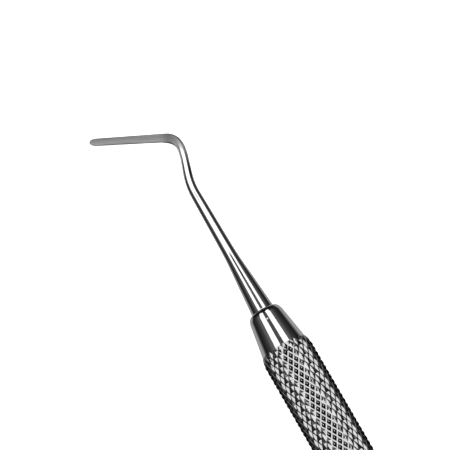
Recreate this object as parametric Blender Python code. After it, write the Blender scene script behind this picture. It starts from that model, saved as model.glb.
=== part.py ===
"""Double-ended dental hand instrument: knurled tube handle, two pinned ferrules, two bent flat blades.

The instrument lies on its handle and both blade tips, handle along X, metres, +Z up. Each end is built in a
frame of its own: +X towards the blade, +Y the way the blade turns, +Z square to the bend.
"""

import math

import bmesh
import bpy
from mathutils import Matrix, Vector

MM = 0.001
CLEARANCE = 0.03 * MM  # fit between neighbouring pieces
ROUND_STEPS = 48

# Handle: a tube with a convex shoulder at each end
HANDLE_LENGTH = 100.0 * MM  # over both ferrule noses
HANDLE_DIAMETER = 8.0 * MM
HANDLE_BORE = 6.4 * MM
SHOULDER_DIAMETER = 7.4 * MM
SHOULDER_LENGTH = 1.5 * MM
SHOULDER_STEPS = 6

# Ferrule: a polished cone nose, and a spigot inside the tube
NOSE_LENGTH = 6.5 * MM
NOSE_FRONT_DIAMETER = 5.14 * MM
NOSE_BACK_DIAMETER = 7.22 * MM
NOSE_CHAMFER_START = 0.98 * MM  # behind the front face
NOSE_CHAMFER_TILT = 20.0  # from the handle axis, in degrees
NOSE_RIM_RADIUS = 0.80 * MM
NOSE_RIM_TILT = 22.0  # of the rim where it leaves the cone, in degrees from the handle axis
NOSE_RIM_STEPS = 6
SPIGOT_DIAMETER = HANDLE_BORE - 2 * CLEARANCE
SPIGOT_LENGTH = 12.0 * MM
SPIGOT_CHAMFER = 0.4 * MM
SOCKET_DEPTH = 14.0 * MM
BRAZE_GROOVE_START = 0.6 * MM  # behind the nose
BRAZE_GROOVE_LENGTH = 0.9 * MM
BRAZE_GROOVE_DEPTH = 0.3 * MM

# Working end: tang, tapering shank, double bend, flat blade
TANG_DIAMETER = 3.54 * MM
TANG_LENGTH = 13.8 * MM
TANG_CHAMFER = 0.3 * MM
ROOT_LENGTH = 9.4 * MM  # steep part of the taper
ROOT_DIAMETER = 3.60 * MM
NECK_DIAMETER = 2.00 * MM  # where the two tapers would meet
KNEE_DIAMETER = 1.30 * MM  # at the second bend
TAPER_BLEND = 0.22 * MM
TAPER_SWELL = 0.05 * MM  # each taper stands a little proud of a straight one at its middle
BEND_SPREAD = 0.20 * MM  # extra width where the metal was flattened in the bend
BEND_BULGE = 0.035 * MM  # how far the middle of the bend stands outwards of its centre line
BEND_SPREAD_LENGTH = 3.8 * MM
BLADE_ROOT_WIDTH = 1.32 * MM
BLADE_TIP_WIDTH = 1.10 * MM
BLADE_THICKNESS = 0.45 * MM
BLADE_LENGTH = 11.3 * MM
BLADE_NOSE_LENGTH = 1.05 * MM
BLADE_CORNER_RADIUS = 0.12 * MM
WIDTH_RUN_OUT = 2.6 * MM  # length over which the shank takes on the blade's width
FLAT_RUN_OUT = 4.6 * MM  # length over which the ground flats rise out of the round shank
WORKING_END_STEPS = 32

# Centre line of the working end: (length, turn towards the blade side in degrees)
SHANK_STRAIGHT = 20.9 * MM
BENDS = (
    (3.35 * MM, -18.1),
    (2.25 * MM, 0.0),
    (1.80 * MM, 9.5),
    (2.72 * MM, 58.6),
    (1.54 * MM, 10.1),
)
PATH_STEP = 0.35 * MM

# Lock pin, ground flush with the nose
PIN_DIAMETER = 0.36 * MM
PIN_SETBACK = 1.95 * MM
PIN_DEPTH = 1.0 * MM  # into the tang
PIN_TURN = math.radians(13.1)  # about the handle, away from the blade side
PIN_STEPS = 12

STEEL = {
    "knurled_steel": ((0.50, 0.50, 0.51), 0.32, 1.0),
    "polished_steel": ((0.62, 0.62, 0.63), 0.08, 1.0),
    "ground_steel": ((0.42, 0.42, 0.42), 0.45, 1.0),
    "pin_steel": ((0.70, 0.70, 0.70), 0.25, 1.0),
    "silver_braze": ((0.72, 0.68, 0.60), 0.40, 1.0),
}


def clear_scene():
    for scene_object in list(bpy.data.objects):
        bpy.data.objects.remove(scene_object, do_unlink=True)


def steel(finish, piece):
    """A piece's own Principled material, with the colour, roughness and metallic value of its finish."""
    colour, roughness, metallic = STEEL[finish]
    material = bpy.data.materials.new(f"{piece}_{finish}")
    material.use_nodes = True
    shader = material.node_tree.nodes["Principled BSDF"]
    shader.inputs["Base Color"].default_value = (*colour, 1.0)
    shader.inputs["Roughness"].default_value = roughness
    shader.inputs["Metallic"].default_value = metallic
    return material


def place(name, mesh, finish, parent=None, location=(0, 0, 0), rotation=(0, 0, 0)):
    piece = bpy.data.objects.new(name, mesh)
    bpy.context.scene.collection.objects.link(piece)
    piece.parent = parent
    piece.location = location
    piece.rotation_euler = rotation
    if finish:
        piece.data.materials.append(steel(finish, name))
    return piece


def frame(name, location, rotation):
    """An empty that carries the pieces of one end, or the tube."""
    empty = bpy.data.objects.new(name, None)
    empty.empty_display_size = 5 * MM
    bpy.context.scene.collection.objects.link(empty)
    empty.location = location
    empty.rotation_euler = rotation
    return empty


def turned(name, profile, finish, parent, closed=False):
    """A lathe-turned piece about the frame's X axis, from (distance towards the blade, radius) points."""
    mesh = bpy.data.meshes.new(name)
    points = [(radius, 0.0, along) for along, radius in profile]
    edges = [(i, i + 1) for i in range(len(points) - 1)]
    if closed:
        edges.append((len(points) - 1, 0))
    mesh.from_pydata(points, edges, [])
    piece = place(name, mesh, finish, parent, rotation=(0, math.pi / 2, 0))
    screw = piece.modifiers.new("Turn", "SCREW")
    screw.axis = "Z"
    screw.steps = screw.render_steps = ROUND_STEPS
    screw.use_merge_vertices = True
    screw.merge_threshold = 0.001 * MM
    screw.use_smooth_shade = True
    return piece


def arc(centre, radius, start, end, steps):
    """(along, radius) points on an arc, angles in degrees from the handle axis."""
    points = []
    for i in range(steps + 1):
        angle = math.radians(start + (end - start) * i / steps)
        points.append((centre[0] + radius * math.cos(angle), centre[1] + radius * math.sin(angle)))
    return points


def shoulder(end):
    """Convex shoulder of the tube: a quarter wave from the end face up to the full diameter."""
    rise = (HANDLE_DIAMETER - SHOULDER_DIAMETER) / 2
    points = []
    for i in range(SHOULDER_STEPS + 1):
        share = i / SHOULDER_STEPS
        along = end - math.copysign(SHOULDER_LENGTH * share, end)
        points.append((along, SHOULDER_DIAMETER / 2 + rise * math.sin(share * math.pi / 2)))
    return points


def build_tube():
    half = HANDLE_LENGTH / 2 - NOSE_LENGTH - CLEARANCE
    bore = HANDLE_BORE / 2
    profile = shoulder(half) + shoulder(-half)[::-1] + [(-half, bore), (half, bore)]
    return turned("handle_tube", profile, "knurled_steel", frame("handle", AXIS, (0, 0, 0)), closed=True)


def nose_radius(behind):
    """Radius of the cone nose at a distance behind its front face."""
    share = behind / NOSE_LENGTH
    return (NOSE_FRONT_DIAMETER + (NOSE_BACK_DIAMETER - NOSE_FRONT_DIAMETER) * share) / 2


def ferrule_profile():
    socket = TANG_DIAMETER / 2 + CLEARANCE
    tilt = math.radians(NOSE_RIM_TILT)
    rim_start = NOSE_RIM_RADIUS * (1 - math.sin(tilt))
    chamfer_drop = (NOSE_CHAMFER_START - rim_start) * math.tan(math.radians(NOSE_CHAMFER_TILT))
    rim_top = nose_radius(NOSE_CHAMFER_START) - chamfer_drop
    rim = (-NOSE_RIM_RADIUS, rim_top - NOSE_RIM_RADIUS * math.cos(tilt))
    spigot = SPIGOT_DIAMETER / 2
    groove = spigot - BRAZE_GROOVE_DEPTH
    groove_front = -NOSE_LENGTH - BRAZE_GROOVE_START
    groove_back = groove_front - BRAZE_GROOVE_LENGTH
    back = -NOSE_LENGTH - SPIGOT_LENGTH
    return [
        (-SOCKET_DEPTH, 0.0),
        (-SOCKET_DEPTH, socket),
        (0.0, socket),
        *arc(rim, NOSE_RIM_RADIUS, 0, 90 - NOSE_RIM_TILT, NOSE_RIM_STEPS),
        (-NOSE_CHAMFER_START, nose_radius(NOSE_CHAMFER_START)),
        (-NOSE_LENGTH, NOSE_BACK_DIAMETER / 2),
        (-NOSE_LENGTH, spigot),
        (groove_front, spigot),
        (groove_front, groove),
        (groove_back, groove),
        (groove_back, spigot),
        (back + SPIGOT_CHAMFER, spigot),
        (back, spigot - SPIGOT_CHAMFER),
        (back, 0.0),
    ]


def braze_profile():
    front = -NOSE_LENGTH - BRAZE_GROOVE_START - CLEARANCE
    back = front - BRAZE_GROOVE_LENGTH + 2 * CLEARANCE
    inner = SPIGOT_DIAMETER / 2 - BRAZE_GROOVE_DEPTH + CLEARANCE
    outer = SPIGOT_DIAMETER / 2
    return [(front, inner), (front, outer), (back, outer), (back, inner)]


def centre_line():
    """(distance, x, y, heading) along the shank and blade, from the ferrule's front face to the blade's end."""
    distance = x = y = heading = 0.0
    line = [(distance, x, y, heading)]
    for length, turn in ((SHANK_STRAIGHT, 0.0), *BENDS, (BLADE_LENGTH, 0.0)):
        steps = math.ceil(length / PATH_STEP)
        for _ in range(steps):
            heading += math.radians(turn) / steps / 2
            x += math.cos(heading) * length / steps
            y += math.sin(heading) * length / steps
            heading += math.radians(turn) / steps / 2
            distance += length / steps
            line.append((distance, x, y, heading))
    return line


LINE = centre_line()
REACH = LINE[-1][0]
BLADE_START = REACH - BLADE_LENGTH


def eased(share):
    share = min(max(share, 0.0), 1.0)
    return share * share * (3 - 2 * share)


def in_bend(distance):
    """0 away from the end bend, rising to 1 at its middle."""
    past_bend = (distance - BLADE_START) / BEND_SPREAD_LENGTH + 0.52
    return math.cos(math.pi * past_bend) ** 2 if abs(past_bend) < 0.5 else 0.0


def width_at(distance):
    """Width in the bend plane: a steep taper running into a slow one, then the nearly parallel blade."""
    steep = ROOT_DIAMETER + (NECK_DIAMETER - ROOT_DIAMETER) * distance / ROOT_LENGTH
    past_neck = (distance - ROOT_LENGTH) / (SHANK_STRAIGHT + BENDS[0][0] + BENDS[1][0] - ROOT_LENGTH)
    slow = NECK_DIAMETER + (KNEE_DIAMETER - NECK_DIAMETER) * past_neck
    over = steep - slow
    shank = slow + (over + math.hypot(over, TAPER_BLEND)) / 2
    swelling = distance / ROOT_LENGTH if past_neck < 0 else min(past_neck, 1.0)
    shank += TAPER_SWELL * math.sin(math.pi * swelling)
    along_blade = (distance - BLADE_START) / BLADE_LENGTH
    blade = BLADE_ROOT_WIDTH + (BLADE_TIP_WIDTH - BLADE_ROOT_WIDTH) * along_blade
    shank = max(shank, KNEE_DIAMETER)
    width = shank + (blade - shank) * eased((distance - BLADE_START + WIDTH_RUN_OUT) / WIDTH_RUN_OUT)
    width += BEND_SPREAD * in_bend(distance)
    nose = (distance - (REACH - BLADE_NOSE_LENGTH)) / BLADE_NOSE_LENGTH
    return width * math.sqrt(max(1 - max(nose, 0.0) ** 2, 0.0))


def flatness_at(distance):
    """0 in the round shank, 1 in the blade, whose flats run out over the end bend."""
    return eased((distance - (BLADE_START - FLAT_RUN_OUT)) / FLAT_RUN_OUT)


def section(width, flatness):
    """(across, up) points of a cross-section: round, or flat with small rounded corners, or between."""
    half_width = width / 2
    half_thickness = half_width * (1 - flatness) + min(BLADE_THICKNESS / 2, half_width) * flatness
    roundness = (1 - flatness) ** 2
    corner = half_width * roundness + min(BLADE_CORNER_RADIUS, half_width) * (1 - roundness)
    quarter = WORKING_END_STEPS // 4
    points = []
    for i in range(WORKING_END_STEPS):
        angle = 2 * math.pi * (i + 0.5) / WORKING_END_STEPS
        side, face = ((1, 1), (-1, 1), (-1, -1), (1, -1))[i // quarter]
        across = side * (half_width - corner) + corner * math.cos(angle)
        points.append((across, face * (half_thickness - corner) + corner * math.sin(angle)))
    return points


def stations():
    """(x, y, heading, width, flatness) of every ring of the working end, tang first."""
    tang = TANG_DIAMETER
    rings = [
        (-TANG_LENGTH, 0.0, 0.0, tang - 2 * TANG_CHAMFER, 0.0),
        (-TANG_LENGTH + TANG_CHAMFER, 0.0, 0.0, tang, 0.0),
        (CLEARANCE, 0.0, 0.0, tang, 0.0),
    ]
    for distance, x, y, heading in LINE[1:-3]:
        bulge = BEND_BULGE * in_bend(distance)
        x, y = x + bulge * math.sin(heading), y - bulge * math.cos(heading)
        rings.append((x, y, heading, width_at(distance), flatness_at(distance)))
    end_x, end_y, heading = LINE[-1][1:]
    for angle in range(15, 90, 12):  # the rounded end, in even steps of its ellipse
        back = BLADE_NOSE_LENGTH * (1 - math.sin(math.radians(angle)))
        x, y = end_x - back * math.cos(heading), end_y - back * math.sin(heading)
        rings.append((x, y, heading, width_at(REACH - back), 1.0))
    return rings


def build_working_end(name, parent):
    """Rings strung along the centre line, from the round tang to the flat blade, capped at both ends."""
    shape = bmesh.new()
    rings = []
    for x, y, heading, width, flatness in stations():
        ring = []
        for across, up in section(width, flatness):
            ring.append(
                shape.verts.new((x - across * math.sin(heading), y + across * math.cos(heading), up))
            )
        rings.append(ring)
    for ring, following in zip(rings, rings[1:]):
        for i in range(WORKING_END_STEPS):
            j = (i + 1) % WORKING_END_STEPS
            shape.faces.new((ring[i], ring[j], following[j], following[i]))
    shape.faces.new(rings[0][::-1])
    shape.faces.new(rings[-1])
    bmesh.ops.recalc_face_normals(shape, faces=shape.faces[:])
    mesh = bpy.data.meshes.new(name)
    shape.to_mesh(mesh)
    shape.free()
    mesh.shade_smooth()
    mesh.set_sharp_from_angle(angle=math.radians(35))
    return place(name, mesh, "polished_steel", parent)


def pin_mesh(name, diameter, inner, outer):
    """A small rod pointing out from the handle axis, between two radii."""
    shape = bmesh.new()
    bmesh.ops.create_cone(
        shape,
        cap_ends=True,
        segments=PIN_STEPS,
        radius1=diameter / 2,
        radius2=diameter / 2,
        depth=outer - inner,
        matrix=Matrix.Translation((0, 0, (inner + outer) / 2)),
    )
    mesh = bpy.data.meshes.new(name)
    shape.to_mesh(mesh)
    shape.free()
    return mesh


def build_pin(name, parent, drilled):
    """The lock pin, and the hole for it in each piece that it passes through."""
    location = (-PIN_SETBACK, 0, 0)
    rotation = (PIN_TURN, 0, 0)
    inner = TANG_DIAMETER / 2 - PIN_DEPTH
    outer = nose_radius(PIN_SETBACK)
    pin = place(name, pin_mesh(name, PIN_DIAMETER, inner, outer), "pin_steel", parent, location, rotation)
    drill_mesh = pin_mesh(f"{name}_drill", PIN_DIAMETER + 2 * CLEARANCE, inner - CLEARANCE, outer + 2 * MM)
    drill = place(f"{name}_drill", drill_mesh, None, parent, location, rotation)
    drill.hide_render = True
    drill.display_type = "WIRE"
    for piece in drilled:
        cut = piece.modifiers.new("Pin hole", "BOOLEAN")
        cut.operation = "DIFFERENCE"
        cut.solver = "EXACT"
        cut.object = drill
    return pin


def build_end(side, location, rotation):
    end = frame(f"{side}_end", location, rotation)
    ferrule = turned(f"{side}_ferrule", ferrule_profile(), "polished_steel", end)
    turned(f"{side}_braze_ring", braze_profile(), "silver_braze", end, closed=True)
    working_end = build_working_end(f"{side}_working_end", end)
    build_pin(f"{side}_lock_pin", end, (ferrule, working_end))


def resting_roll():
    """Turn about the handle that brings the blade's end down to the table beside the handle."""
    end_y = LINE[-1][2]
    reach = math.hypot(end_y, BLADE_THICKNESS / 2)
    return math.asin(HANDLE_DIAMETER / 2 / reach) - math.atan(BLADE_THICKNESS / 2 / end_y)


ROLL = resting_roll()
BLADE_OVERHANG = Vector((LINE[-1][2], BLADE_THICKNESS / 2)) @ Vector((math.cos(ROLL), math.sin(ROLL)))
AXIS = Vector((0, (BLADE_OVERHANG - HANDLE_DIAMETER / 2) / 2, HANDLE_DIAMETER / 2))

clear_scene()
build_tube()
build_end("front", AXIS - Vector((HANDLE_LENGTH / 2, 0, 0)), (-ROLL, 0, math.pi))
build_end("rear", AXIS + Vector((HANDLE_LENGTH / 2, 0, 0)), (math.pi + ROLL, 0, 0))
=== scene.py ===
"""Looks of the double-ended dental hand instrument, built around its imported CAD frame."""

import math
import random

import bmesh
import bpy
from mathutils import Matrix, Vector


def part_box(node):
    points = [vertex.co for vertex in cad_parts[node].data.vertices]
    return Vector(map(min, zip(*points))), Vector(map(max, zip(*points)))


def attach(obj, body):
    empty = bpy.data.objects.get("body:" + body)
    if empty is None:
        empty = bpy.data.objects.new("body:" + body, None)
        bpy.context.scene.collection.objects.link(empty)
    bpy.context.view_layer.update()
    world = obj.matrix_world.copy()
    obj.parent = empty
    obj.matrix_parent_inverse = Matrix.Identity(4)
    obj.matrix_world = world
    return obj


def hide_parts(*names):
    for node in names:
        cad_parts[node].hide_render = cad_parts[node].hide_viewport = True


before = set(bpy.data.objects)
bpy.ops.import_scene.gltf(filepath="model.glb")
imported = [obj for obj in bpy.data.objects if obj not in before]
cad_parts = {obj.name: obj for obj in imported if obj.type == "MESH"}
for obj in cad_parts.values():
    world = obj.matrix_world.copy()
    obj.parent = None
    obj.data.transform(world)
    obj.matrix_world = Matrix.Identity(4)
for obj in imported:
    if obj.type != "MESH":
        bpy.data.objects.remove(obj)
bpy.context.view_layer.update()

MM = 0.001
BODY = "root"


# ---------------------------------------------------------------- places taken from the frame

tube_low, tube_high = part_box("handle_tube")
AXIS_Y = (tube_low.y + tube_high.y) / 2
AXIS_Z = (tube_low.z + tube_high.z) / 2
HANDLE_RADIUS = (tube_high.z - tube_low.z) / 2
TUBE_FRONT, TUBE_BACK = tube_low.x, tube_high.x
FRONT_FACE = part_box("front_ferrule")[0].x
REAR_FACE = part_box("rear_ferrule")[1].x


# ---------------------------------------------------------------- dimensions

# Knurl: small pyramids with flat tops, between two crossing families of grooves
KNURL_COUNT = 26  # round the handle
KNURL_LENGTH = 1.63 * MM  # along the handle
KNURL_DEPTH = 0.212 * MM
GROOVE_FLOOR = 0.18  # share of the pitch
KNURL_FLANK = 0.345  # share of the pitch, seen from above
KNURL_PHASE = (-0.2065, -0.527 * MM)  # turn in pyramids, shift along the handle
KNURL_JITTER = 0.006 * MM
KNURL_TURN_JITTER = 0.004  # share of the pitch
KNURL_SEED = 11
KNURL_RUN_OUT = 1.1 * MM
# How bright each kind of facet is rubbed: lowest and highest
RUBBED_TOP = (0.70, 1.0)
RUBBED_FLANK = (0.0, 0.16)
RUBBED_FLOOR = (0.80, 1.0)
SHOULDER_DROP = 0.30 * MM
SHOULDER_LENGTH = 1.5 * MM
TUBE_BORE_RADIUS = 3.2 * MM

# Ferrule
NOSE_LENGTH = 6.5 * MM
NOSE_FRONT_RADIUS = 2.57 * MM
NOSE_BACK_RADIUS = 3.61 * MM
NOSE_CHAMFER_START = 0.98 * MM
NOSE_CHAMFER_TILT = 20.0
NOSE_SUPPORT = 0.15 * MM  # a ring this far behind the chamfer keeps the cone straight
NOSE_RIM_RADIUS = 0.80 * MM
NOSE_RIM_TILT = 22.0  # of the rim where it leaves the cone, in degrees from the handle axis
SOCKET_RADIUS = 1.80 * MM
SOCKET_DEPTH = 14.0 * MM
SPIGOT_RADIUS = 3.17 * MM
SPIGOT_LENGTH = 12.0 * MM
GROOVE_START = 0.6 * MM
GROOVE_LENGTH = 0.9 * MM
GROOVE_DEPTH = 0.3 * MM
SPIGOT_CHAMFER = 0.4 * MM
RIM_STEPS = 16
FERRULE_STEPS = 96
MERGE_DISTANCE = 0.001 * MM

# Working end
TANG_DIAMETER = 3.54 * MM
TANG_LENGTH = 13.8 * MM
TANG_CHAMFER = 0.3 * MM
TANG_SUPPORT = 2 * MM
ROOT_LENGTH = 9.4 * MM
ROOT_DIAMETER = 3.60 * MM
ROOT_SUPPORT = 0.06 * MM  # rings this far either side of the socket's mouth hold the step sharp
NECK_DIAMETER = 2.00 * MM
KNEE_DIAMETER = 1.30 * MM
TAPER_BLEND = 0.22 * MM
TAPER_SWELL = 0.05 * MM
BEND_SPREAD = 0.20 * MM  # extra width where the metal was flattened in the bend
BEND_BULGE = 0.035 * MM  # how far the middle of the bend stands outwards of its centre line
BEND_SPREAD_LENGTH = 3.8 * MM
BEND_SPREAD_AHEAD = 0.52  # share of that length by which its middle lies before the blade
BLADE_ROOT_WIDTH = 1.32 * MM
BLADE_TIP_WIDTH = 1.10 * MM
BLADE_THICKNESS = 0.45 * MM
BLADE_CORNER_RADIUS = 0.12 * MM
BLADE_LENGTH = 11.3 * MM
BLADE_NOSE_LENGTH = 1.05 * MM
BLADE_NOSE_ANGLES = (14, 26, 38, 50, 60, 69, 77, 83, 87)  # of the rings round the nose
WIDTH_RUN_OUT = 2.6 * MM
FLAT_RUN_OUT = 4.6 * MM
SHANK_STRAIGHT = 20.9 * MM
BENDS = (
    (3.35 * MM, -18.1),
    (2.25 * MM, 0.0),
    (1.80 * MM, 9.5),
    (2.72 * MM, 58.6),
    (1.54 * MM, 10.1),
)
PATH_STEP = 0.4 * MM
RING_STEPS = 48

# Where the polish gives way to the satin of the blade, along the centre line
SATIN_START = 27.75 * MM
SATIN_RISE = 1.3 * MM
SATIN_LEAD_SIDES = 4.4 * MM
SATIN_LEAD_INSIDE = 5.6 * MM
SATIN_RISE_SIDES = 3.4 * MM

# Tones of the steel where it isn't polished, and of the painted highlight on the satin's edges
KNURL_FLANK_TONE = 0.37
KNURL_RUBBED_TONE = 0.36
SATIN_TONE = 0.24
# Painted highlight: the bright tone laid on the satin's edges
PAINTED_EDGE_HIGHLIGHT_TONE = 0.62
PAINTED_EDGE_HIGHLIGHT_METALLIC = 0.25  # painted highlight: where it lies, the satin's edges are made less metallic so their bright tone shows
PAINTED_EDGE_HIGHLIGHT_AHEAD = (4.2, 2.2)  # mm before the blade: painted edge highlight at full strength, and none left

# Lock pin
PIN_RADIUS = 0.17 * MM
PIN_DEPTH = 1.0 * MM  # into the tang
PIN_CROWN = 0.02 * MM
PIN_EDGE = 0.03 * MM  # how far the rim of its head lies below the cone
PIN_STEPS = 24
PIN_SETBACK = 1.95 * MM
PIN_TURN = math.radians(13.1)

# Camera
CAMERA_AZIMUTH = math.radians(61.07)
CAMERA_ELEVATION = math.radians(72.8)
CAMERA_DISTANCE = 470 * MM
CAMERA_LENS = 250.7  # for a sensor 36 mm wide
AIM_AHEAD = 14.509 * MM  # of the front ferrule's face
AIM_ASIDE = 1.542 * MM


# ---------------------------------------------------------------- mesh helpers


def new_object(name, mesh):
    piece = bpy.data.objects.new(name, mesh)
    bpy.context.scene.collection.objects.link(piece)
    return piece


def settle(piece, place):
    """Applies the piece's modifiers and moves its mesh to its place; the object isn't moved."""
    graph = bpy.context.evaluated_depsgraph_get()
    mesh = bpy.data.meshes.new_from_object(piece.evaluated_get(graph))
    mesh.transform(place)
    mesh.name = piece.name
    piece.modifiers.clear()
    piece.data = mesh
    return piece


def finish_piece(piece, node, material):
    piece.data.materials.clear()
    piece.data.materials.append(material)
    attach(piece, BODY)
    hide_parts(node)
    return piece


def eased(share):
    share = min(max(share, 0.0), 1.0)
    return share * share * (3 - 2 * share)


# ---------------------------------------------------------------- centre line of a working end


def centre_line():
    """(distance, x, y, heading) from the ferrule's front face to the blade's end."""
    distance = x = y = heading = 0.0
    line = [(distance, x, y, heading)]
    for length, turn in ((SHANK_STRAIGHT, 0.0), *BENDS, (BLADE_LENGTH, 0.0)):
        steps = math.ceil(length / PATH_STEP)
        for _ in range(steps):
            heading += math.radians(turn) / steps / 2
            x += math.cos(heading) * length / steps
            y += math.sin(heading) * length / steps
            heading += math.radians(turn) / steps / 2
            distance += length / steps
            line.append((distance, x, y, heading))
    return line


LINE = centre_line()
REACH = LINE[-1][0]
BLADE_START = REACH - BLADE_LENGTH


def resting_roll():
    """Turn about the handle that brings the blade's end down to the table beside the handle."""
    end_y = LINE[-1][2]
    reach = math.hypot(end_y, BLADE_THICKNESS / 2)
    return math.asin(HANDLE_RADIUS / reach) - math.atan(BLADE_THICKNESS / 2 / end_y)


ROLL = resting_roll()
FRONT_END = (
    Matrix.Translation((FRONT_FACE, AXIS_Y, AXIS_Z))
    @ Matrix.Rotation(ROLL, 4, "X")
    @ Matrix.Rotation(math.pi, 4, "Z")
)
REAR_END = (
    Matrix.Translation((REAR_FACE, AXIS_Y, AXIS_Z))
    @ Matrix.Rotation(math.pi + ROLL, 4, "X")
)


# ---------------------------------------------------------------- knurled handle

CELL_CORNERS = ((0, 0), (1, 0), (1, 1), (0, 1))  # low or high end of a cell, across and along


def shoulder_drop(along):
    """How far the tube's crest line lies below the full radius, near either end."""
    from_end = min(along - TUBE_FRONT, TUBE_BACK - along)
    share = min(max(from_end / SHOULDER_LENGTH, 0.0), 1.0)
    return SHOULDER_DROP * (1 - math.sin(share * math.pi / 2))


def groove_radius(along):
    """Radius of the groove floors, which rise to the surface towards the ferrules."""
    from_end = min(along - TUBE_FRONT, TUBE_BACK - along)
    return HANDLE_RADIUS - shoulder_drop(along) - KNURL_DEPTH * eased(from_end / KNURL_RUN_OUT)


def build_knurled_tube():
    """Crossing grooves leave square frustums: each has four base corners and four top corners."""
    rng = random.Random(KNURL_SEED)
    floor = GROOVE_FLOOR / 2
    base = (floor, 1 - floor)
    top = (floor + KNURL_FLANK, 1 - floor - KNURL_FLANK)
    half_pitch = KNURL_LENGTH / 2
    first = math.floor((TUBE_FRONT - 2 * KNURL_LENGTH) / half_pitch)
    last = math.ceil((TUBE_BACK + 2 * KNURL_LENGTH) / half_pitch)
    shape = bmesh.new()
    rubbed = shape.faces.layers.float.new("rubbed")
    corners = {}

    def corner(u, v, raised):
        around = (u + v) / 2 + KNURL_PHASE[0]
        along = (v - u) * half_pitch + KNURL_PHASE[1]
        radius = HANDLE_RADIUS - shoulder_drop(along) if raised else groove_radius(along)
        radius -= rng.random() * KNURL_JITTER * (1 if raised else 2)
        turn = 2 * math.pi * (around + rng.uniform(-1, 1) * KNURL_TURN_JITTER) / KNURL_COUNT
        along += rng.uniform(-1, 1) * KNURL_JITTER
        y, z = AXIS_Y - radius * math.sin(turn), AXIS_Z + radius * math.cos(turn)
        return shape.verts.new((along, y, z))

    def face(verts, low, high):
        shape.faces.new(verts)[rubbed] = rng.uniform(low, high)

    for row in range(first, last + 1):  # v - u
        for i in range(KNURL_COUNT):
            for name, ends, raised in (("base", base, False), ("top", top, True)):
                corners[row, i, name] = [
                    corner(i + ends[a], i + row + ends[b], raised) for a, b in CELL_CORNERS
                ]
    for row in range(first, last + 1):
        for i in range(KNURL_COUNT):
            low, high = corners[row, i, "base"], corners[row, i, "top"]
            face(high, *RUBBED_TOP)
            for a in range(4):
                b = (a + 1) % 4
                face((low[a], low[b], high[b], high[a]), *RUBBED_FLANK)
            ahead = corners.get((row - 1, (i + 1) % KNURL_COUNT, "base"))  # next cell in u
            beside = corners.get((row + 1, i, "base"))  # next cell in v
            across = corners.get((row, (i + 1) % KNURL_COUNT, "base"))  # next in both
            if ahead:
                face((low[1], ahead[0], ahead[3], low[2]), *RUBBED_FLOOR)
            if beside:
                face((low[3], low[2], beside[1], beside[0]), *RUBBED_FLOOR)
            if ahead and beside and across:
                face((low[2], ahead[3], across[0], beside[1]), *RUBBED_FLOOR)
    for plane_x, normal_x in ((TUBE_FRONT, -1), (TUBE_BACK, 1)):
        bmesh.ops.bisect_plane(
            shape,
            geom=shape.verts[:] + shape.edges[:] + shape.faces[:],
            dist=1e-7,
            plane_co=(plane_x, 0, 0),
            plane_no=(normal_x, 0, 0),
            clear_outer=True,
        )
    inner_loops = []
    for rim in (TUBE_FRONT, TUBE_BACK):
        edges = [
            edge
            for edge in shape.edges
            if edge.is_boundary and all(abs(vert.co.x - rim) < 1e-6 for vert in edge.verts)
        ]
        made = bmesh.ops.extrude_edge_only(shape, edges=edges)["geom"]
        for vert in (g for g in made if isinstance(g, bmesh.types.BMVert)):
            spoke = Vector((0, vert.co.y - AXIS_Y, vert.co.z - AXIS_Z))
            vert.co = Vector((rim, AXIS_Y, AXIS_Z)) + spoke.normalized() * TUBE_BORE_RADIUS
        inner_loops += [g for g in made if isinstance(g, bmesh.types.BMEdge)]
    bmesh.ops.bridge_loops(shape, edges=inner_loops)
    bmesh.ops.recalc_face_normals(shape, faces=shape.faces[:])
    mesh = bpy.data.meshes.new("knurled_handle")
    shape.to_mesh(mesh)
    shape.free()
    return new_object("knurled_handle", mesh)


# ---------------------------------------------------------------- ferrules


def arc(centre, radius, start, end, steps):
    """(along, radius) points on an arc, angles in degrees from the handle axis."""
    points = []
    for i in range(steps + 1):
        angle = math.radians(start + (end - start) * i / steps)
        along, out = centre[0] + radius * math.cos(angle), centre[1] + radius * math.sin(angle)
        points.append((along, out))
    return points


def nose_radius(behind):
    """Radius of the straight cone at a distance behind its front face."""
    return NOSE_FRONT_RADIUS + (NOSE_BACK_RADIUS - NOSE_FRONT_RADIUS) * behind / NOSE_LENGTH


def ferrule_profile():
    """From the socket's bottom, out over the rounded rim and the cone, and back to the spigot's end."""
    tilt = math.radians(NOSE_RIM_TILT)
    rim_start = NOSE_RIM_RADIUS * (1 - math.sin(tilt))
    chamfer_drop = (NOSE_CHAMFER_START - rim_start) * math.tan(math.radians(NOSE_CHAMFER_TILT))
    rim_radius = nose_radius(NOSE_CHAMFER_START) - chamfer_drop
    rim = (-NOSE_RIM_RADIUS, rim_radius - NOSE_RIM_RADIUS * math.cos(tilt))
    mouth = math.asin(max(SOCKET_RADIUS - rim[1], 0.0) / NOSE_RIM_RADIUS)
    groove = SPIGOT_RADIUS - GROOVE_DEPTH
    groove_front = -NOSE_LENGTH - GROOVE_START
    back = -NOSE_LENGTH - SPIGOT_LENGTH
    return [
        (-SOCKET_DEPTH, 0.0),
        (-SOCKET_DEPTH, SOCKET_RADIUS),
        *arc(rim, NOSE_RIM_RADIUS, math.degrees(mouth), 90 - NOSE_RIM_TILT, RIM_STEPS),
        (-NOSE_CHAMFER_START, nose_radius(NOSE_CHAMFER_START)),
        (-NOSE_CHAMFER_START - NOSE_SUPPORT, nose_radius(NOSE_CHAMFER_START + NOSE_SUPPORT)),
        (-NOSE_LENGTH, NOSE_BACK_RADIUS),
        (-NOSE_LENGTH, SPIGOT_RADIUS),
        (groove_front, SPIGOT_RADIUS),
        (groove_front, groove),
        (groove_front - GROOVE_LENGTH, groove),
        (groove_front - GROOVE_LENGTH, SPIGOT_RADIUS),
        (back + SPIGOT_CHAMFER, SPIGOT_RADIUS),
        (back, SPIGOT_RADIUS - SPIGOT_CHAMFER),
        (back, 0.0),
    ]


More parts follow.
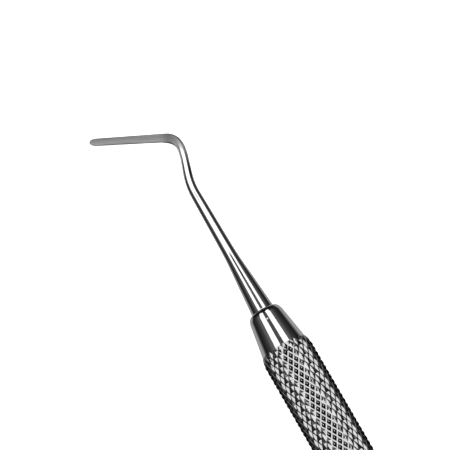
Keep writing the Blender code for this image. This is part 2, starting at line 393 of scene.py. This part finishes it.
def turned(name, profile, steps, sharp_angle, place):
    """A closed piece turned from its (radius, along) profile, moved to its place."""
    mesh = bpy.data.meshes.new(name)
    points = [(radius, 0.0, along) for radius, along in profile]
    mesh.from_pydata(points, [(i, i + 1) for i in range(len(points) - 1)], [])
    piece = new_object(name, mesh)
    screw = piece.modifiers.new("Turn", "SCREW")
    screw.axis = "Z"
    screw.steps = screw.render_steps = steps
    screw.use_merge_vertices = True
    screw.merge_threshold = MERGE_DISTANCE
    screw.use_smooth_shade = True
    settle(piece, place)
    piece.data.set_sharp_from_angle(angle=math.radians(sharp_angle))
    return piece


def build_ferrule(name, place):
    profile = [(radius, along) for along, radius in ferrule_profile()]
    return turned(name, profile, FERRULE_STEPS, 30, place @ Matrix.Rotation(math.pi / 2, 4, "Y"))


# ---------------------------------------------------------------- working ends


def in_bend(distance):
    """0 away from the end bend, rising to 1 at its middle."""
    past_bend = (distance - BLADE_START) / BEND_SPREAD_LENGTH + BEND_SPREAD_AHEAD
    return math.cos(math.pi * past_bend) ** 2 if abs(past_bend) < 0.5 else 0.0


def width_at(distance):
    """Width in the bend plane: a steep taper, a slow one, then the nearly parallel blade."""
    steep = ROOT_DIAMETER + (NECK_DIAMETER - ROOT_DIAMETER) * distance / ROOT_LENGTH
    knee = SHANK_STRAIGHT + BENDS[0][0] + BENDS[1][0]
    past_neck = (distance - ROOT_LENGTH) / (knee - ROOT_LENGTH)
    slow = NECK_DIAMETER + (KNEE_DIAMETER - NECK_DIAMETER) * past_neck
    over = steep - slow
    shank = slow + (over + math.hypot(over, TAPER_BLEND)) / 2
    swelling = distance / ROOT_LENGTH if past_neck < 0 else min(past_neck, 1.0)
    swell = TAPER_SWELL * math.sin(math.pi * swelling) * min(2 * swelling, 1.0)
    shank = max(shank + swell, KNEE_DIAMETER)
    along_blade = (distance - BLADE_START) / BLADE_LENGTH
    blade = BLADE_ROOT_WIDTH + (BLADE_TIP_WIDTH - BLADE_ROOT_WIDTH) * along_blade
    to_blade = eased((distance - BLADE_START + WIDTH_RUN_OUT) / WIDTH_RUN_OUT)
    width = shank + (blade - shank) * to_blade
    width += BEND_SPREAD * in_bend(distance)
    nose = (distance - (REACH - BLADE_NOSE_LENGTH)) / BLADE_NOSE_LENGTH
    return width * math.sqrt(max(1 - max(nose, 0.0) ** 2, 0.0))


def flatness_at(distance):
    return eased((distance - (BLADE_START - FLAT_RUN_OUT)) / FLAT_RUN_OUT)


def satin_at(distance, side):
    """0 polished, 1 satin; the satin reaches further up the sides, most of all inside the bend."""
    start = SATIN_START - SATIN_LEAD_SIDES * side * side - SATIN_LEAD_INSIDE * max(side, 0.0)
    return eased((distance - start) / (SATIN_RISE + SATIN_RISE_SIDES * abs(side)))


def section(width, flatness):
    """(across, up) points of a cross-section: round, or flat with small rounded corners, or between."""
    half_width = width / 2
    half_thickness = half_width * (1 - flatness) + min(BLADE_THICKNESS / 2, half_width) * flatness
    roundness = (1 - flatness) ** 2
    corner = half_width * roundness + min(BLADE_CORNER_RADIUS, half_width) * (1 - roundness)
    points = []
    for k in range(RING_STEPS):
        angle = 2 * math.pi * (k + 0.5) / RING_STEPS
        side, face = ((1, 1), (-1, 1), (-1, -1), (1, -1))[k // (RING_STEPS // 4)]
        across = side * (half_width - corner) + corner * math.cos(angle)
        points.append((across, face * (half_thickness - corner) + corner * math.sin(angle)))
    return points


def working_end_rings():
    """(distance, x, y, heading, width, flatness) of every ring, tang first."""
    tang = TANG_DIAMETER
    rings = [
        (-TANG_LENGTH, -TANG_LENGTH, 0.0, 0.0, tang - 2 * TANG_CHAMFER, 0.0),
        (TANG_CHAMFER - TANG_LENGTH, TANG_CHAMFER - TANG_LENGTH, 0.0, 0.0, tang, 0.0),
        (-TANG_SUPPORT, -TANG_SUPPORT, 0.0, 0.0, tang, 0.0),
        (-ROOT_SUPPORT, -ROOT_SUPPORT, 0.0, 0.0, tang, 0.0),
    ]
    root_line = (LINE[0], (ROOT_SUPPORT, ROOT_SUPPORT, 0.0, 0.0))
    for distance, x, y, heading in (*root_line, *LINE[1:-3]):
        bulge = BEND_BULGE * in_bend(distance)
        x, y = x + bulge * math.sin(heading), y - bulge * math.cos(heading)
        rings.append((distance, x, y, heading, width_at(distance), flatness_at(distance)))
    end_x, end_y, heading = LINE[-1][1:]
    for angle in BLADE_NOSE_ANGLES:
        back = BLADE_NOSE_LENGTH * (1 - math.sin(math.radians(angle)))
        x, y = end_x - back * math.cos(heading), end_y - back * math.sin(heading)
        rings.append((REACH - back, x, y, heading, width_at(REACH - back), 1.0))
    return rings


def build_working_end(name, place):
    """A cage of rings strung along the centre line, rounded by subdivision."""
    shape = bmesh.new()
    satin = shape.verts.layers.float.new("satin")
    uv_points = {}
    rings = []
    for distance, x, y, heading, width, flatness in working_end_rings():
        ring = []
        for across, up in section(width, flatness):
            vert = shape.verts.new((x - across * math.sin(heading), y + across * math.cos(heading), up))
            side = 2 * across / width
            vert[satin] = satin_at(distance, side)
            uv_points[vert] = (distance / MM, side)
            ring.append(vert)
        rings.append(ring)
    for ring, following in zip(rings, rings[1:]):
        for i in range(RING_STEPS):
            j = (i + 1) % RING_STEPS
            shape.faces.new((ring[i], ring[j], following[j], following[i]))
    shape.faces.new(rings[0][::-1])
    shape.faces.new(rings[-1])
    bmesh.ops.recalc_face_normals(shape, faces=shape.faces[:])
    uv = shape.loops.layers.uv.new("along_blade")
    for face in shape.faces:
        face.smooth = True
        for loop in face.loops:
            loop[uv].uv = uv_points[loop.vert]
    mesh = bpy.data.meshes.new(name)
    shape.to_mesh(mesh)
    shape.free()
    mesh.transform(place)
    piece = new_object(name, mesh)
    smooth = piece.modifiers.new("Round", "SUBSURF")
    smooth.levels = smooth.render_levels = 1
    smooth.uv_smooth = "NONE"
    return piece


# ---------------------------------------------------------------- lock pins


def build_pin(name, place):
    """A small rod from inside the tang to the cone's surface, its head slightly crowned."""
    top = nose_radius(PIN_SETBACK)
    low = SOCKET_RADIUS - PIN_DEPTH
    profile = [
        (0.0, top + PIN_CROWN),
        (PIN_RADIUS * 0.5, top + PIN_CROWN * 0.8),
        (PIN_RADIUS * 0.85, top + PIN_CROWN * 0.3),
        (PIN_RADIUS, top - PIN_EDGE),
        (PIN_RADIUS, low),
        (0.0, low),
    ]
    lean = Matrix.Translation((-PIN_SETBACK, 0, 0)) @ Matrix.Rotation(PIN_TURN, 4, "X")
    return turned(name, profile, PIN_STEPS, 50, place @ lean)


# ---------------------------------------------------------------- shared node groups


def node_group(name, inputs, outputs):
    """A new shader node group with named sockets, and its input and output nodes."""
    tree = bpy.data.node_groups.new(name, "ShaderNodeTree")
    for socket, kind, value in inputs:
        made = tree.interface.new_socket(socket, in_out="INPUT", socket_type=kind)
        if value is not None:
            made.default_value = value
    for socket, kind in outputs:
        tree.interface.new_socket(socket, in_out="OUTPUT", socket_type=kind)
    return tree, tree.nodes.new("NodeGroupInput"), tree.nodes.new("NodeGroupOutput")


def node(tree, kind, settings=(), **links):
    """A node with its settings; keyword arguments feed its inputs with a socket or a value."""
    made = tree.nodes.new(kind)
    for key, value in dict(settings).items():
        setattr(made, key, value)
    for key, value in links.items():
        socket = made.inputs[int(key[1:]) if key[1:].isdigit() else key.replace("_", " ")]
        if isinstance(value, bpy.types.NodeSocket):
            tree.links.new(value, socket)
        else:
            socket.default_value = value
    return made


def drawn_lines_group():
    """Fine parallel lines left by a stone, a belt or a lathe tool."""
    tree, given, result = node_group(
        "drawn_lines",
        (
            ("Vector", "NodeSocketVector", None),
            ("Spacing", "NodeSocketVector", (1.0, 1.0, 1.0)),
            ("Low", "NodeSocketFloat", 0.0),
            ("High", "NodeSocketFloat", 1.0),
        ),
        (("Value", "NodeSocketFloat"), ("Height", "NodeSocketFloat")),
    )
    stretched = node(
        tree,
        "ShaderNodeVectorMath",
        {"operation": "MULTIPLY"},
        _0=given.outputs["Vector"],
        _1=given.outputs["Spacing"],
    ).outputs[0]
    grain = node(tree, "ShaderNodeTexNoise", Vector=stretched, Scale=1.0, Detail=4.0, Roughness=0.7)
    ranged = node(tree, "ShaderNodeMapRange", Value=grain.outputs["Fac"], From_Min=0.32, From_Max=0.68)
    tree.links.new(ranged.outputs["Result"], result.inputs["Height"])
    levels = node(
        tree,
        "ShaderNodeMapRange",
        Value=ranged.outputs["Result"],
        To_Min=given.outputs["Low"],
        To_Max=given.outputs["High"],
    )
    tree.links.new(levels.outputs["Result"], result.inputs["Value"])
    return tree


def handling_mottle_group():
    """Soft blotches of handling and wiping, as a value between two levels."""
    tree, given, result = node_group(
        "handling_mottle",
        (
            ("Vector", "NodeSocketVector", None),
            ("Scale", "NodeSocketFloat", 1000.0),
            ("Low", "NodeSocketFloat", 0.0),
            ("High", "NodeSocketFloat", 1.0),
        ),
        (("Value", "NodeSocketFloat"),),
    )
    blotch = node(
        tree,
        "ShaderNodeTexNoise",
        Vector=given.outputs["Vector"],
        Scale=given.outputs["Scale"],
        Detail=3.0,
        Roughness=0.6,
    )
    levels = node(
        tree,
        "ShaderNodeMapRange",
        Value=blotch.outputs["Fac"],
        From_Min=0.34,
        From_Max=0.66,
        To_Min=given.outputs["Low"],
        To_Max=given.outputs["High"],
    )
    tree.links.new(levels.outputs["Result"], result.inputs["Value"])
    return tree


def steel_tone_group():
    """Steel colour between a dark and a bright one, shaded by a value around 1."""
    tree, given, result = node_group(
        "steel_tone",
        (
            ("Dark", "NodeSocketColor", (0.3, 0.3, 0.3, 1.0)),
            ("Bright", "NodeSocketColor", (0.6, 0.6, 0.6, 1.0)),
            ("Mask", "NodeSocketFloat", 1.0),
            ("Shade", "NodeSocketFloat", 1.0),
        ),
        (("Color", "NodeSocketColor"),),
    )
    mixed = node(
        tree,
        "ShaderNodeMix",
        {"data_type": "RGBA"},
        _0=given.outputs["Mask"],
        _6=given.outputs["Dark"],
        _7=given.outputs["Bright"],
    )
    shade = given.outputs["Shade"]
    scaling = {"operation": "SCALE"}
    shaded = node(tree, "ShaderNodeVectorMath", scaling, _0=mixed.outputs[2], Scale=shade)
    tree.links.new(shaded.outputs[0], result.inputs["Color"])
    return tree


DRAWN_LINES = drawn_lines_group()
HANDLING_MOTTLE = handling_mottle_group()
STEEL_TONE = steel_tone_group()


def effect(tree, group, **links):
    return node(tree, "ShaderNodeGroup", {"node_tree": group}, **links)


def mottled(tree, place, scale, low, high):
    blotches = effect(tree, HANDLING_MOTTLE, Vector=place, Scale=scale, Low=low, High=high)
    return blotches.outputs["Value"]


# ---------------------------------------------------------------- materials

BRIGHT_STEEL = (0.62, 0.62, 0.63, 1.0)


def grey(level):
    return (level, level, level, 1.0)


def metal(name):
    """A new metallic material: its node tree, its Principled shader and Object coordinates."""
    material = bpy.data.materials.new(name)
    material.use_nodes = True
    tree = material.node_tree
    shader = tree.nodes["Principled BSDF"]
    shader.inputs["Metallic"].default_value = 1.0
    place = tree.nodes.new("ShaderNodeTexCoord").outputs["Object"]
    return material, tree, shader, place


def feed(tree, shader, **links):
    for key, socket in links.items():
        tree.links.new(socket, shader.inputs[key.replace("_", " ")])


def relief(tree, height, distance):
    bump = node(tree, "ShaderNodeBump", Height=height, Distance=distance, Strength=1.0)
    return bump.outputs["Normal"]


def product(tree, first, second):
    return node(tree, "ShaderNodeMath", {"operation": "MULTIPLY"}, _0=first, _1=second).outputs[0]


def knurl_steel():
    """Cut facets: rubbed bright on the tops and in the groove floors, dark on the flanks."""
    material, tree, shader, place = metal("knurl_steel")
    rubbed = node(tree, "ShaderNodeAttribute", {"attribute_name": "rubbed"}).outputs["Fac"]
    shade = mottled(tree, place, 700.0, 0.93, 1.05)
    dark, bright = grey(KNURL_FLANK_TONE), grey(KNURL_RUBBED_TONE)
    tone = effect(tree, STEEL_TONE, Dark=dark, Bright=bright, Mask=rubbed, Shade=shade)
    cut = effect(tree, DRAWN_LINES, Vector=place, Spacing=(2500.0, 9000.0, 9000.0), Low=0.05, High=0.10)
    feed(tree, shader, Base_Color=tone.outputs["Color"], Roughness=cut.outputs["Value"])
    feed(tree, shader, Normal=relief(tree, cut.outputs["Height"], 0.0008 * MM))
    return material


def cone_steel():
    """Lathe-turned and buffed: hair-fine rings round the handle under a mirror polish."""
    material, tree, shader, place = metal("polished_steel")
    shade = mottled(tree, place, 450.0, 0.97, 1.02)
    tone = effect(tree, STEEL_TONE, Dark=BRIGHT_STEEL, Bright=BRIGHT_STEEL, Mask=1.0, Shade=shade)
    rings = effect(tree, DRAWN_LINES, Vector=place, Spacing=(14000.0, 60.0, 60.0), Low=0.045, High=0.085)
    feed(tree, shader, Base_Color=tone.outputs["Color"], Roughness=rings.outputs["Value"])
    feed(tree, shader, Normal=relief(tree, rings.outputs["Height"], 0.00006 * MM))
    return material


def shank_steel():
    """Polished shank whose polish gives way to lengthwise grinding marks on the blade, with a painted
    highlight along the satin's edges and painted shading across the blade.
    """
    material, tree, shader, place = metal("shank_steel")
    satin = node(tree, "ShaderNodeAttribute", {"attribute_name": "satin"}).outputs["Fac"]
    way = node(tree, "ShaderNodeUVMap", {"uv_map": "along_blade"}).outputs["UV"]
    split = node(tree, "ShaderNodeSeparateXYZ", Vector=way)
    distance, across = split.outputs["X"], split.outputs["Y"]

    def ranged(value, low, high, to_low=0.0, to_high=1.0, curve="LINEAR"):
        made = node(tree, "ShaderNodeMapRange", {"interpolation_type": curve}, Value=value)
        levels = {"From Min": low, "From Max": high, "To Min": to_low, "To Max": to_high}
        for socket, level in levels.items():
            made.inputs[socket].default_value = level
        return made.outputs["Result"]

    # Painted highlight on the satin's edges: a brighter, less metallic tone towards both edges, strongest
    # inside the bend, fading out before the blade
    off_middle = node(tree, "ShaderNodeMath", {"operation": "ABSOLUTE"}, _0=across).outputs[0]
    edge = ranged(off_middle, 0.15, 0.70, curve="SMOOTHSTEP")
    inside = ranged(across, -1.0, 0.6, 0.45, 1.0)
    full, gone = (BLADE_START / MM - ahead for ahead in PAINTED_EDGE_HIGHLIGHT_AHEAD)
    painted_highlight_fade = ranged(distance, gone, full, curve="SMOOTHSTEP")
    painted_edge_highlight_mask = product(tree, product(tree, edge, inside), painted_highlight_fade)
    ground = effect(tree, DRAWN_LINES, Vector=way, Spacing=(0.22, 9.0, 1.0), Low=0.80, High=1.22)
    # Painted shading: the satin tone runs from 0.80 on one side across the blade to 1.16 on the other,
    # lighter towards the inside of the bend; the grinding marks vary it too
    lean = ranged(across, -1.0, 1.0, 0.80, 1.16)
    grinding_marks_and_painted_shading = product(tree, ground.outputs["Value"], lean)
    satin_tone = effect(
        tree,
        STEEL_TONE,
        Dark=grey(SATIN_TONE),
        Bright=grey(PAINTED_EDGE_HIGHLIGHT_TONE),
        Mask=painted_edge_highlight_mask,
        Shade=grinding_marks_and_painted_shading,
    )
    shade = mottled(tree, place, 500.0, 0.97, 1.02)
    polish_tone = effect(tree, STEEL_TONE, Dark=BRIGHT_STEEL, Bright=BRIGHT_STEEL, Mask=1.0, Shade=shade)
    tone = node(
        tree,
        "ShaderNodeMix",
        {"data_type": "RGBA"},
        _0=satin,
        _6=polish_tone.outputs["Color"],
        _7=satin_tone.outputs["Color"],
    )
    polish = effect(tree, DRAWN_LINES, Vector=way, Spacing=(0.5, 11.0, 1.0), Low=0.06, High=0.10)
    rough = effect(tree, DRAWN_LINES, Vector=way, Spacing=(0.8, 13.0, 1.0), Low=0.42, High=0.56)
    smooth, ground_smooth = polish.outputs["Value"], rough.outputs["Value"]
    roughness = node(tree, "ShaderNodeMix", _0=satin, _2=smooth, _3=ground_smooth)
    feed(tree, shader, Base_Color=tone.outputs[2], Roughness=roughness.outputs[0])
    # Painted highlight: the edges lose metallic where the painted highlight lies
    metallic = ranged(product(tree, painted_edge_highlight_mask, satin), 0.0, 1.0, 1.0, PAINTED_EDGE_HIGHLIGHT_METALLIC)
    feed(tree, shader, Metallic=metallic)
    marks = product(tree, ground.outputs["Height"], satin)
    feed(tree, shader, Normal=relief(tree, marks, 0.002 * MM))
    return material


def pin_steel():
    """Filed flush with the cone, with the file's marks left on its head."""
    material, tree, shader, place = metal("pin_steel")
    shade = mottled(tree, place, 6000.0, 0.85, 1.05)
    filed = effect(tree, DRAWN_LINES, Vector=place, Spacing=(22000.0, 2500.0, 2500.0), Low=0.24, High=0.42)
    tone = effect(
        tree,
        STEEL_TONE,
        Dark=grey(0.55),
        Bright=(0.75, 0.75, 0.74, 1),
        Mask=filed.outputs["Height"],
        Shade=shade,
    )
    feed(tree, shader, Base_Color=tone.outputs["Color"], Roughness=filed.outputs["Value"])
    feed(tree, shader, Normal=relief(tree, filed.outputs["Height"], 0.001 * MM))
    return material


def braze_alloy():
    """Silver braze as it froze: a little yellow, blotched with flux, finely pitted."""
    material, tree, shader, place = metal("braze_alloy")
    blotch = mottled(tree, place, 1600.0, 0.0, 1.0)
    shade = mottled(tree, place, 5200.0, 0.85, 1.05)
    dark, bright = (0.52, 0.47, 0.38, 1), (0.76, 0.71, 0.60, 1)
    tone = effect(tree, STEEL_TONE, Dark=dark, Bright=bright, Mask=blotch, Shade=shade)
    dull = mottled(tree, place, 2400.0, 0.28, 0.5)
    feed(tree, shader, Base_Color=tone.outputs["Color"], Roughness=dull)
    pits = node(tree, "ShaderNodeTexVoronoi", Vector=place, Scale=7000.0).outputs["Distance"]
    depth = node(tree, "ShaderNodeMapRange", Value=pits, From_Min=0.05, From_Max=0.3)
    feed(tree, shader, Normal=relief(tree, depth.outputs["Result"], 0.01 * MM))
    return material


# ---------------------------------------------------------------- the instrument

KNURL_STEEL, CONE_STEEL, SHANK_STEEL = knurl_steel(), cone_steel(), shank_steel()
PIN_STEEL, BRAZE_ALLOY = pin_steel(), braze_alloy()
finish_piece(build_knurled_tube(), "handle_tube", KNURL_STEEL)
for side, place in (("front", FRONT_END), ("rear", REAR_END)):
    cone = build_ferrule(f"{side}_cone", place)
    finish_piece(cone, f"{side}_ferrule", CONE_STEEL)
    working_end = build_working_end(f"{side}_shank_and_blade", place)
    finish_piece(working_end, f"{side}_working_end", SHANK_STEEL)
    pin = build_pin(f"{side}_pin", place)
    finish_piece(pin, f"{side}_lock_pin", PIN_STEEL)
    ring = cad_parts[f"{side}_braze_ring"]
    ring.data.materials.clear()
    ring.data.materials.append(BRAZE_ALLOY)


# ---------------------------------------------------------------- camera


def direction(azimuth, elevation):
    level = math.cos(elevation)
    return Vector((math.sin(azimuth) * level, -math.cos(azimuth) * level, math.sin(elevation)))


AIM = Vector((FRONT_FACE - AIM_AHEAD, AXIS_Y + AIM_ASIDE, AXIS_Z))
camera_data = bpy.data.cameras.new("camera")
camera_data.lens = CAMERA_LENS
camera_data.sensor_width = 36.0
camera_data.clip_start = 0.01
camera_data.clip_end = 20.0
camera = bpy.data.objects.new("camera", camera_data)
bpy.context.scene.collection.objects.link(camera)
towards_camera = direction(CAMERA_AZIMUTH, CAMERA_ELEVATION)
camera.location = AIM + towards_camera * CAMERA_DISTANCE
right = Vector((math.cos(CAMERA_AZIMUTH), math.sin(CAMERA_AZIMUTH), 0))
upward = towards_camera.cross(right)
camera.rotation_euler = Matrix((right, upward, towards_camera)).transposed().to_euler()
bpy.context.scene.camera = camera


# ---------------------------------------------------------------- studio

SOFTBOX_DISTANCE = 0.75
SOFTBOX_RADIANCE = 2.0
# Angles round the handle from the meridian, and reach along the handle from the front ferrule's
# face. A dark gap over the meridian is left between the near and the far row, ahead of the middle one.
SOFTBOXES = (
    ("softbox_near_front", -37.5, -9.0, -0.90, -0.38),
    ("softbox_near", -37.5, -11.4, -0.38, 0.90),
    ("softbox_middle", -11.6, 16.6, -0.27, 0.90),
    ("softbox_far", 16.4, 42.0, -0.38, 0.90),
    ("softbox_far_front", 14.0, 42.0, -0.90, -0.38),
)
MERIDIAN = math.radians(8.5)  # from straight up, towards the blades
# Radiance of the room by the angle round the handle axis from the meridian, in degrees
ROOM = (
    (0, 0.10),
    (42, 0.19),
    (57, 0.135),
    (63, 0.075),
    (76, 0.044),
    (98, 0.012),
    (106, 0.06),
    (115, 0.28),
    (126, 0.50),
    (180, 0.45),
)
# It is darker straight off the handle's front and rear ends, between these directions along it
ROOM_DIM = ((-0.62, -0.76), (-0.10, 0.10))
ROOM_DIM_LEVEL = 0.12
ROOM_UNDIMMED = (-0.9, -0.7)  # below the handle the front isn't darker; cosine from the meridian
FLOOR_SIDE = 8.0
FLOOR_GLOW = 0.8


def softbox(name, low_angle, high_angle, front, back):
    """An area light parallel to the handle, between two angles round the handle axis."""
    lean = MERIDIAN - math.radians((low_angle + high_angle) / 2)
    length = back - front
    width = 2 * SOFTBOX_DISTANCE * math.tan(math.radians(high_angle - low_angle) / 2)
    data = bpy.data.lights.new(name, "AREA")
    data.shape = "RECTANGLE"
    data.size, data.size_y = length, width
    # A flat light sends out pi times its radiance
    data.energy = SOFTBOX_RADIANCE * math.pi * length * width
    light = bpy.data.objects.new(name, data)
    bpy.context.scene.collection.objects.link(light)
    along = Vector((1, 0, 0))
    away = Vector((0, -math.sin(lean), math.cos(lean)))
    middle = Vector((FRONT_FACE + (front + back) / 2, AXIS_Y, AXIS_Z))
    light.location = middle + away * SOFTBOX_DISTANCE
    light.rotation_euler = Matrix((along, away.cross(along), away)).transposed().to_euler()
    light.visible_camera = False


def build_room():
    """A grey surround that the steel reflects; the camera sees white instead."""
    world = bpy.data.worlds.new("room")
    bpy.context.scene.world = world
    world.use_nodes = True
    room = world.node_tree
    towards = room.nodes.new("ShaderNodeTexCoord").outputs["Generated"]
    flat_way = node(room, "ShaderNodeVectorMath", {"operation": "MULTIPLY"}, _0=towards, _1=(0, 1, 1))
    round_way = node(room, "ShaderNodeVectorMath", {"operation": "NORMALIZE"}, _0=flat_way.outputs[0])
    from_meridian = node(
        room,
        "ShaderNodeVectorMath",
        {"operation": "DOT_PRODUCT"},
        _0=round_way.outputs[0],
        _1=(0, -math.sin(MERIDIAN), math.cos(MERIDIAN)),
    ).outputs["Value"]
    spread = node(room, "ShaderNodeMapRange", Value=from_meridian, From_Min=-1.0, From_Max=1.0)
    ramp = node(room, "ShaderNodeValToRGB", Fac=spread.outputs["Result"])
    steps = ramp.color_ramp.elements
    steps.remove(steps[1])
    steps[0].color = grey(ROOM[-1][1])
    for angle, level in ROOM[:-1]:
        steps.new((math.cos(math.radians(angle)) + 1) / 2).color = grey(level)
    along = node(room, "ShaderNodeSeparateXYZ", Vector=towards).outputs["X"]
    front_dim, rear_dim = (
        node(
            room,
            "ShaderNodeMapRange",
            {"interpolation_type": "SMOOTHSTEP"},
            Value=along,
            From_Min=start,
            From_Max=end,
            To_Min=1.0,
            To_Max=ROOM_DIM_LEVEL,
        ).outputs["Result"]
        for start, end in ROOM_DIM
    )
    low, high = ROOM_UNDIMMED
    above = node(room, "ShaderNodeMapRange", Value=from_meridian, From_Min=low, From_Max=high)
    front_dim = node(room, "ShaderNodeMix", _0=above.outputs["Result"], _2=1.0, _3=front_dim).outputs[0]
    both = product(room, front_dim, rear_dim)
    scaling = {"operation": "SCALE"}
    dimmed = node(room, "ShaderNodeVectorMath", scaling, _0=ramp.outputs["Color"], Scale=both)
    backdrop = room.nodes["Background"]
    room.links.new(dimmed.outputs[0], backdrop.inputs["Color"])
    seen = node(room, "ShaderNodeBackground", Color=grey(1.0))
    ray = room.nodes.new("ShaderNodeLightPath").outputs["Is Camera Ray"]
    choose = node(room, "ShaderNodeMixShader", _0=ray, _1=backdrop.outputs[0], _2=seen.outputs[0])
    room.links.new(choose.outputs[0], room.nodes["World Output"].inputs["Surface"])


def build_floor():
    """A sheet of white paper under the instrument, which the steel doesn't mirror."""
    half = FLOOR_SIDE / 2
    mesh = bpy.data.meshes.new("floor")
    corners = [(-half, -half, 0), (half, -half, 0), (half, half, 0), (-half, half, 0)]
    mesh.from_pydata(corners, [], [(0, 1, 2, 3)])
    floor = new_object("floor", mesh)
    floor.visible_glossy = False
    material = bpy.data.materials.new("floor_paper")
    material.use_nodes = True
    shader = material.node_tree.nodes["Principled BSDF"]
    settings = {
        "Base Color": grey(0.9),
        "Roughness": 1.0,
        "Specular IOR Level": 0.0,
        "Emission Color": grey(1.0),
        "Emission Strength": FLOOR_GLOW,
    }
    for socket, value in settings.items():
        shader.inputs[socket].default_value = value
    floor.data.materials.append(material)


for strip in SOFTBOXES:
    softbox(*strip)
build_room()
build_floor()

bpy.context.scene.view_settings.view_transform = "Standard"
